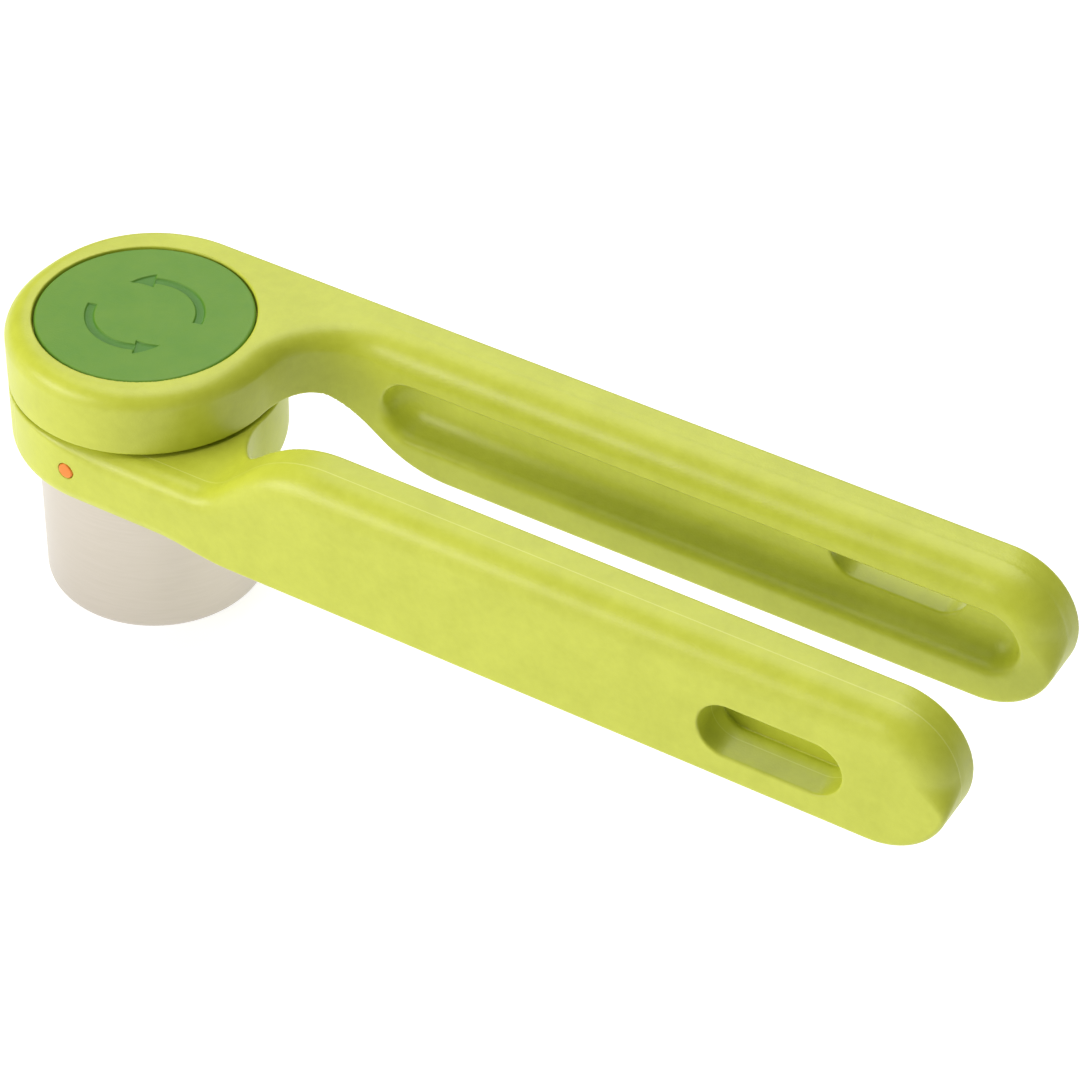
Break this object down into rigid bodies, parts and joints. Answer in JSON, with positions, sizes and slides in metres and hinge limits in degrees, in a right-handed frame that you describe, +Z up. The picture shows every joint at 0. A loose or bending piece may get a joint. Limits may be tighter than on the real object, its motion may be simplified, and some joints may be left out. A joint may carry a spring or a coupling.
{
  "type": "twist-action garlic press",
  "caption": "Garlic press with a round head, two long handles side by side and a perforated steel cup; twisting the handles screws a plunger down into the cup.",
  "frame": {"origin": "centre of the cup's base, on the axis that the upper half turns about", "axes": "+Z up along the turning axis, +X along the bars towards their tips, the upper bar on the +Y side"},
  "size_m": [0.2, 0.051, 0.0582],
  "materials": {
    "lime_nylon": "satin moulded",
    "green_nylon": "satin moulded",
    "white_nylon": "moulded",
    "orange_nylon": "moulded",
    "stainless_cup": "satin drawn stainless steel",
    "steel_hardware": "plain stainless steel"
  },
  "bodies": {
    "lower": {"lower_handle": "lime_nylon", "garlic_cup": "stainless_cup", "cup_retainer": "steel_hardware", "lower_dot": "orange_nylon"},
    "foot": {"press_foot": "white_nylon"},
    "upper": {"upper_handle": "lime_nylon", "cap_disc": "green_nylon", "upper_dot": "orange_nylon", "plunger": "white_nylon", "foot_washer": "steel_hardware", "foot_screw": "steel_hardware", "plunger_screw_1": "steel_hardware", "plunger_screw_2": "steel_hardware", "plunger_screw_3": "steel_hardware", "plunger_screw_4": "steel_hardware"}
  },
  "joints": [
    {"name": "press_travel", "type": "slide", "parent": "lower", "child": "foot", "axis": [0, 0, 1], "range_m": [0, 0.01223]},
    {"name": "handle_twist", "type": "hinge", "parent": "foot", "child": "upper", "pos_m": [0, 0, 0.045], "axis": [0, 0, 1], "range_deg": [0, 110]}
  ],
  "couplings": [
    {"joint": "press_travel", "follows": "handle_twist", "m_per_rad": 0.0063662}
  ]
}
